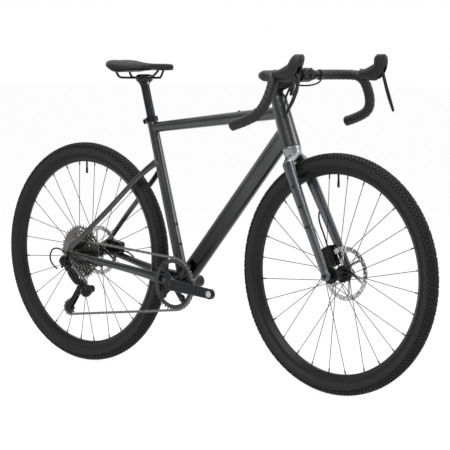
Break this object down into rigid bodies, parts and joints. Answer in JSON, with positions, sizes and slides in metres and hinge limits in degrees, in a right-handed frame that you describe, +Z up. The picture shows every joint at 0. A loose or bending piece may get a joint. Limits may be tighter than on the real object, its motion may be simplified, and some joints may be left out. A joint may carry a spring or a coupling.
{
  "type": "gravel bike",
  "caption": "Drop-bar gravel bike with disc brakes, single chainring, wide-range cassette and knobbly tyres; steers, pedals, brakes and shifts",
  "frame": {"origin": "on the ground midway between the two axles", "axes": "+X forward, +Y to the rider's left, +Z up; the chain is on the -Y side"},
  "size_m": [1.7469, 0.557, 0.9934],
  "materials": {
    "frame_paint": "metallic grey paint, clear coat",
    "fork_paint": "metallic grey paint, clear coat",
    "black_alloy": "black anodised, satin",
    "silver_alloy": "machined",
    "crank_alloy": "dark grey anodised",
    "steel": "brushed",
    "black_steel": "black coated",
    "chain_steel": "bright with oil in the joints",
    "tyre": "matte moulded rubber",
    "tape": "wrapped cork tape, matte",
    "hood_rubber": "matte moulded rubber",
    "hose": "satin hose",
    "saddle_cover": "matte synthetic leather",
    "black_plastic": "moulded",
    "pad_compound": "sintered"
  },
  "bodies": {
    "frame": {"head_tube": "frame_paint", "top_tube": "frame_paint", "down_tube": "frame_paint", "seat_tube": "frame_paint", "bottom_bracket_shell": "frame_paint", "chainstays": "frame_paint", "seatstays": "frame_paint", "dropouts": "frame_paint", "seat_collar": "black_alloy", "frame_bolts": "black_steel", "bottom_bracket_cups": "black_alloy", "headset_bearings": "steel", "rear_axle": "black_alloy", "rear_caliper": "black_alloy", "rear_brake_pads": "pad_compound", "rear_brake_hose": "hose", "shift_housing": "hose", "chain": "chain_steel", "derailleur_b_knuckle": "black_alloy"},
    "steering": {"fork": "fork_paint", "headset_spacers": "black_alloy", "stem": "black_alloy", "stem_faceplate": "black_alloy", "front_bolts": "black_steel", "handlebar": "black_alloy", "bar_tape": "tape", "hood_right": "hood_rubber", "hood_left": "hood_rubber", "front_axle": "black_alloy", "front_caliper": "black_alloy", "front_brake_pads": "pad_compound", "front_brake_hose": "hose", "cockpit_hoses": "hose"},
    "lever_right": {"brake_lever_right": "black_alloy"},
    "lever_left": {"brake_lever_left": "black_alloy"},
    "paddle": {"shift_paddle": "black_plastic"},
    "front_wheel": {"front_tyre": "tyre", "front_rim": "black_alloy", "front_spokes": "black_steel", "front_hub": "black_alloy", "front_rotor": "steel"},
    "rear_wheel": {"rear_tyre": "tyre", "rear_rim": "black_alloy", "rear_spokes": "black_steel", "rear_hub": "black_alloy", "rear_rotor": "steel"},
    "cassette_body": {"cassette": "steel"},
    "crank": {"crank_arm_right": "crank_alloy", "crank_arm_left": "crank_alloy", "chainring": "crank_alloy"},
    "derailleur_parallelogram": {"derailleur_link": "black_alloy"},
    "cage_knuckle": {"derailleur_p_knuckle": "black_alloy"},
    "cage": {"derailleur_cage": "black_alloy"},
    "guide_wheel": {"guide_pulley": "black_plastic"},
    "tension_wheel": {"tension_pulley": "black_plastic"},
    "seat": {"seatpost": "black_alloy", "seat_clamp": "black_alloy", "saddle_rails": "black_steel", "saddle_shell": "black_plastic", "saddle_pad": "saddle_cover"}
  },
  "joints": [
    {"name": "steering", "type": "hinge", "parent": "frame", "child": "steering", "pos_m": [0.34186, 0, 0.71537], "axis": [-0.3256, 0, 0.9455], "range_deg": [-60, 60], "deforming": ["cockpit_hoses"]},
    {"name": "front_wheel_spin", "type": "hinge", "parent": "steering", "child": "front_wheel", "pos_m": [0.519, 0, 0.3545], "axis": [0, 1, 0], "continuous": true},
    {"name": "rear_wheel_spin", "type": "hinge", "parent": "frame", "child": "rear_wheel", "pos_m": [-0.519, 0, 0.3545], "axis": [0, 1, 0], "continuous": true},
    {"name": "crank_spin", "type": "hinge", "parent": "frame", "child": "crank", "pos_m": [-0.08967, 0, 0.2845], "axis": [0, 1, 0], "continuous": true, "deforming": ["chain"]},
    {"name": "cassette_spin", "type": "hinge", "parent": "frame", "child": "cassette_body", "pos_m": [-0.519, 0, 0.3545], "axis": [0, 1, 0], "continuous": true},
    {"name": "seatpost_slide", "type": "slide", "parent": "frame", "child": "seat", "axis": [-0.2656, 0, 0.9641], "range_m": [-0.085, 0.1]},
    {"name": "brake_right", "type": "hinge", "parent": "steering", "child": "lever_right", "pos_m": [0.51658, -0.199, 0.95043], "axis": [0, 1, 0], "range_deg": [0, 22], "stiffness_Nm_per_rad": 4},
    {"name": "brake_left", "type": "hinge", "parent": "steering", "child": "lever_left", "pos_m": [0.51658, 0.199, 0.95043], "axis": [0, 1, 0], "range_deg": [0, 22], "stiffness_Nm_per_rad": 4},
    {"name": "shift_paddle_push", "type": "hinge", "parent": "lever_right", "child": "paddle", "pos_m": [0.51158, -0.199, 0.93963], "axis": [1, 0, 0], "range_deg": [0, 15], "stiffness_Nm_per_rad": 0.6},
    {"name": "derailleur_shift", "type": "hinge", "parent": "frame", "child": "derailleur_parallelogram", "pos_m": [-0.51, -0.094, 0.3105], "axis": [0.6911, 0, 0.7228], "range_deg": [-13.7, 13.7], "deforming": ["chain"]},
    {"name": "derailleur_knuckle", "type": "hinge", "parent": "derailleur_parallelogram", "child": "cage_knuckle", "pos_m": [-0.453, -0.094, 0.256], "axis": [0.6911, 0, 0.7228], "range_deg": [-14, 14]},
    {"name": "cage_pivot", "type": "hinge", "parent": "cage_knuckle", "child": "cage", "pos_m": [-0.44, -0.0485, 0.243], "axis": [0, 1, 0], "range_deg": [-16.5, 16.5]},
    {"name": "guide_pulley_spin", "type": "hinge", "parent": "cage", "child": "guide_wheel", "pos_m": [-0.49637, -0.0485, 0.25062], "axis": [0, 1, 0], "continuous": true},
    {"name": "tension_pulley_spin", "type": "hinge", "parent": "cage", "child": "tension_wheel", "pos_m": [-0.55133, -0.0485, 0.17377], "axis": [0, 1, 0], "continuous": true}
  ],
  "couplings": [
    {"joint": "cassette_spin", "follows": "crank_spin", "ratio": 1.9048},
    {"joint": "guide_pulley_spin", "follows": "crank_spin", "ratio": -3.6364},
    {"joint": "tension_pulley_spin", "follows": "crank_spin", "ratio": 3.6364},
    {"joint": "derailleur_knuckle", "follows": "derailleur_shift", "ratio": -1},
    {"joint": "cage_pivot", "follows": "derailleur_shift", "ratio": -1.2}
  ]
}
